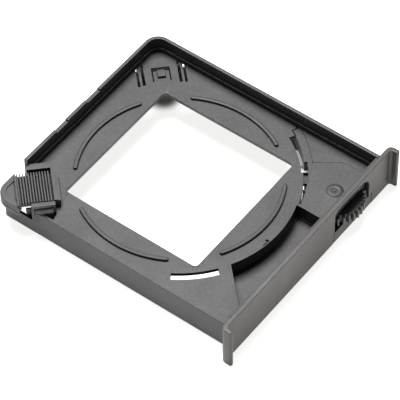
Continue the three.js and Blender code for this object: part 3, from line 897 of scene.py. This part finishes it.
LATCH_HALF = 7.15
LATCH_INNER_END = 44.7
LATCH_SHOULDER = 60.1
GRIP_RIBS = 12
GRIP_START, GRIP_END = 47.25, 59.7
LATCH_BOTTOM = DECK_TOP + 0.3
LATCH_TOP = latch_high.z
NOSE_TOP = DECK_TOP + 2.2
NOSE_BOTTOM = DECK_TOP - 2.2
NOSE_RADIUS = 6.0


def nose_outline(inset):
    """Plan of the latch's rounded nose, a corner of a square cut off across the diagonal."""
    left = latch_low.x + inset
    back = latch_high.y - inset
    radius = NOSE_RADIUS - inset
    shoulder = LATCH_SHOULDER * math.sqrt(2)
    cut_off = [(left, shoulder + left), (back - shoulder, back)]
    return cut_off + arc(left + radius, back - radius, radius, 90, 180)


def latch_groove(along0, along1, bottom):
    """A cut across the whole width of the grip."""
    reach = LATCH_HALF + THROUGH
    return block(corner_rectangle(-1, along0, along1, -reach, reach), bottom, LATCH_TOP + THROUGH)


def latch_grooves():
    """The grip's grooves, a deeper one where the smooth tab begins, and the tab's own low step."""
    pitch = (GRIP_END - GRIP_START) / GRIP_RIBS
    starts = [GRIP_START + rib * pitch for rib in range(GRIP_RIBS)]
    grooves = [latch_groove(start, start + pitch * 0.6, LATCH_TOP - 1.7) for start in starts]
    deep = latch_groove(GRIP_START - 0.25, GRIP_START + 0.4, LATCH_TOP - 2)
    tab_step = latch_groove(LATCH_INNER_END - THROUGH, 45.6, LATCH_TOP - 0.4)
    return [*grooves, deep, tab_step]


def latch_undercut():
    """On its near side the grip is thinner, with a gap under it."""
    outline = handed(-1, -1, GRIP_START + 0.4, GRIP_END - 0.5, 3.0, LATCH_HALF + 0.5)
    return block(outline, LATCH_BOTTOM - THROUGH, LATCH_TOP - 2.1)


def latch_legs():
    """Two legs through the deck's slots, with hooks under the deck."""
    legs = []
    for hand in (-1, 1):
        stem = handed(-1, hand, 51.4, 52.8, 6.1, 7.0)
        leg = handed(-1, hand, 50.1, 53.7, 6.08, 7.02)
        hook = handed(-1, hand, 50.12, 53.68, 5.0, 6.97)
        legs.append(slab(stem, DECK_UNDER, LATCH_TOP - 1.1, edge=0.1))
        legs.append(slab(leg, latch_low.z, DECK_TOP - 0.2, edge=0.1))
        legs.append(slab(hook, latch_low.z + 0.02, DECK_UNDER - 0.3, edge=0.1))
    return legs


def latch_nose():
    """The nose, with a dished top and a line round its side."""
    nose = slab(nose_outline(0), NOSE_BOTTOM, NOSE_TOP, edge=0.35)
    dimple = slab(nose_outline(2.1), NOSE_TOP - 0.45, NOSE_TOP + THROUGH, edge=0.1)
    keep = block(corner_rectangle(-1, 40, LATCH_SHOULDER + 0.6, -30, 30), 0, WALL_TOP)
    groove_z = DECK_TOP - 0.4
    line = slab(nose_outline(-THROUGH), groove_z - 0.18, groove_z + 0.18, edge=0.05)
    core = slab(nose_outline(0.28), groove_z - 0.6, groove_z + 0.6, edge=0.05)
    return cut(nose, cut(dimple, keep), cut(line, core))


def latch_slider():
    """The whole latch: ribbed grip, nose, the root between them, and the legs."""
    half = LATCH_HALF
    grip_outline = corner_rectangle(-1, LATCH_INNER_END, GRIP_END, -half, half)
    grip = slab(grip_outline, LATCH_BOTTOM, LATCH_TOP, edge=0.2)
    grip = cut(grip, *latch_grooves(), latch_undercut())
    root_outline = corner_rectangle(-1, GRIP_END - 0.4, LATCH_SHOULDER + 0.6, 0.06 - half, half - 0.06)
    root = slab(root_outline, LATCH_BOTTOM + 0.05, LATCH_TOP - 0.9)
    return join(grip, latch_nose(), root, *latch_legs())


# --- the finished pieces ---------------------------------------------------------------------------

finish_piece(tray(), "moulded_tray", "tray", "carrier", tray_plastic)
finish_piece(front_plate(), "drawer_front", "front_plate", "carrier", plate_plastic)
finish_piece(thumbwheel(), "toothed_wheel", "thumbwheel", "wheel", wheel_plastic)
finish_piece(wheel_pin(), "wheel_axle", "wheel_pin", "carrier", plate_plastic)
finish_piece(wheel_cover(), "wheel_housing_cover", "wheel_cover", "carrier", cover_plastic)
finish_piece(latch_slider(), "corner_latch", "latch_slider", "latch", latch_plastic)

# --- floor, light and camera -----------------------------------------------------------------------

FOOTPRINT = (LEFT + 0.5, RIGHT, FRONT + 0.5, BACK)
SEEN_THROUGH_WINDOW = (-34.0, 38.5, -36.0, 36.5)
LATCH_GLINT = (-38.0, 44.0)  # a little light gets in under the latch
ARM_GLINT = (43.0, -24.5)  # and under the click arm
DIM_CORNER = (37.0, 36.0)  # the window's back right corner lies in the tray's own shade


class FloorNodes:
    """Small sums on the place of a point of the floor, in metres, as shader nodes."""

    def __init__(self, tree):
        self.nodes, self.links = tree.nodes, tree.links
        self.place = self.nodes.new("ShaderNodeTexCoord").outputs["Object"]
        parts = self.nodes.new("ShaderNodeSeparateXYZ")
        self.links.new(self.place, parts.inputs["Vector"])
        self.x, self.y = parts.outputs["X"], parts.outputs["Y"]

    def fade(self, value, low, high, at_low, at_high):
        """A soft step: at_low up to low, at_high from high on."""
        node = self.nodes.new("ShaderNodeMapRange")
        node.interpolation_type = "SMOOTHSTEP"
        node.inputs["From Min"].default_value = low
        node.inputs["From Max"].default_value = high
        node.inputs["To Min"].default_value = at_low
        node.inputs["To Max"].default_value = at_high
        self.links.new(value, node.inputs["Value"])
        return node.outputs["Result"]

    def combined(self, operation, first, second):
        """Two values put together by a math node's operation."""
        node = self.nodes.new("ShaderNodeMath")
        node.operation = operation
        self.links.new(first, node.inputs[0])
        self.links.new(second, node.inputs[1])
        return node.outputs["Value"]

    def within(self, low, high, value, middle, soft):
        """1 between low and high and 0 outside them; all in millimetres, from the window's middle."""
        low, high = middle + low * MM, middle + high * MM
        rising = self.fade(value, low - soft * MM, low + soft * MM, 0, 1)
        falling = self.fade(value, high - soft * MM, high + soft * MM, 1, 0)
        return self.combined("MULTIPLY", rising, falling)

    def inside(self, box, soft):
        """1 inside a rectangle given as its left, right, front and back."""
        x0, x1, y0, y1 = box
        across = self.within(x0, x1, self.x, CENTRE.x, soft)
        return self.combined("MULTIPLY", across, self.within(y0, y1, self.y, CENTRE.y, soft))

    def away_from(self, spot, near, far, at_near, at_far):
        """A soft step on the distance from a spot, in millimetres."""
        distance = self.nodes.new("ShaderNodeVectorMath")
        distance.operation = "DISTANCE"
        distance.inputs[1].default_value = CENTRE + Vector((*spot, 0)) * MM
        self.links.new(self.place, distance.inputs[0])
        return self.fade(distance.outputs["Value"], near * MM, far * MM, at_near, at_far)


def floor():
    """White paper that glows, with painted shadow where the tray stands over it, save for painted light where
    the floor is seen through it.
    """
    mesh = bpy.data.meshes.new("floor")
    half = 3.0
    drop = -0.00002
    corners = [(-half, -half, drop), (half, -half, drop), (half, half, drop), (-half, half, drop)]
    mesh.from_pydata(corners, [], [(0, 1, 2, 3)])
    made = object_of(mesh, "floor")
    material = bpy.data.materials.new("white_paper")
    material.use_nodes = True
    shader = material.node_tree.nodes["Principled BSDF"]
    shader.inputs["Roughness"].default_value = 0.9
    shader.inputs["Specular IOR Level"].default_value = 0.2
    shader.inputs["Emission Color"].default_value = (1, 0.995, 0.985, 1)
    sums = FloorNodes(material.node_tree)
    # Painted light and shade on the floor: dark under the tray's footprint, light where the floor is seen
    # through the window and in small spots under the latch and click arm, and dimmer towards the window's
    # back right corner.
    outside = sums.fade(sums.inside(FOOTPRINT, 0.6), 0, 1, 1, 0)
    window = sums.inside(SEEN_THROUGH_WINDOW, 1.5)
    window = sums.combined("MULTIPLY", window, sums.away_from(DIM_CORNER, 3.0, 10.0, 0, 1))
    painted_floor_light = sums.combined("MAXIMUM", outside, window)
    painted_floor_light = sums.combined("MAXIMUM", painted_floor_light, sums.away_from(LATCH_GLINT, 2.5, 4.0, 1, 0))
    painted_floor_light = sums.combined("MAXIMUM", painted_floor_light, sums.away_from(ARM_GLINT, 3.0, 6.0, 0.45, 0))
    links = material.node_tree.links
    # The paper glows brightly where the painted light falls and hardly at all in the painted shadow under the
    # tray.
    links.new(sums.fade(painted_floor_light, 0, 1, 0.02, 0.85), shader.inputs["Emission Strength"])
    # Painted shadow: the paper's own colour goes dark under the tray.
    colour = material.node_tree.nodes.new("ShaderNodeMix")
    colour.data_type = "RGBA"
    colour.inputs["A"].default_value = (0.08, 0.078, 0.077, 1)
    colour.inputs["B"].default_value = (0.72, 0.715, 0.71, 1)
    links.new(painted_floor_light, colour.inputs["Factor"])
    links.new(colour.outputs["Result"], shader.inputs["Base Color"])
    mesh.materials.append(material)


def softbox(name, place, size, power):
    """An area light over the carrier, turned to face it."""
    light = bpy.data.lights.new(name, "AREA")
    light.shape = "RECTANGLE"
    light.size, light.size_y = size
    light.energy = power
    lamp = bpy.data.objects.new(name, light)
    bpy.context.scene.collection.objects.link(lamp)
    target = CENTRE + Vector((0, 0, DECK_TOP * MM))
    lamp.location = target + Vector(place)
    lamp.rotation_euler = (target - lamp.location).to_track_quat("-Z", "Y").to_euler()


def camera():
    """A long lens, looking down at the front left corner."""
    azimuth, elevation, roll = (math.radians(angle) for angle in (-52.513, 50.618, -0.755))
    distance = 1038.3 * MM
    target = CENTRE + Vector((-4.228, -12.463, DECK_TOP)) * MM
    level = math.cos(elevation)
    back = Vector((math.sin(azimuth) * level, -math.cos(azimuth) * level, math.sin(elevation)))
    side = Vector((math.cos(azimuth), math.sin(azimuth), 0))
    up = back.cross(side)
    turned_side = side * math.cos(roll) + up * math.sin(roll)
    turned_up = up * math.cos(roll) - side * math.sin(roll)
    data = bpy.data.cameras.new("camera")
    data.sensor_width = 36
    data.lens = 255.3
    data.clip_start, data.clip_end = 0.05, 20
    made = bpy.data.objects.new("camera", data)
    bpy.context.scene.collection.objects.link(made)
    rotation = Matrix((turned_side, turned_up, back)).transposed().to_4x4()
    made.matrix_world = Matrix.Translation(target + back * distance) @ rotation
    bpy.context.scene.camera = made


floor()
softbox("key", (0.20, 0.25, 0.85), (0.5, 0.5), 13)
world = bpy.data.worlds.new("room")
world.use_nodes = True
world.node_tree.nodes["Background"].inputs["Color"].default_value = (1, 1, 1, 1)
world.node_tree.nodes["Background"].inputs["Strength"].default_value = 0.04
bpy.context.scene.world = world
bpy.context.scene.view_settings.view_transform = "Standard"
camera()
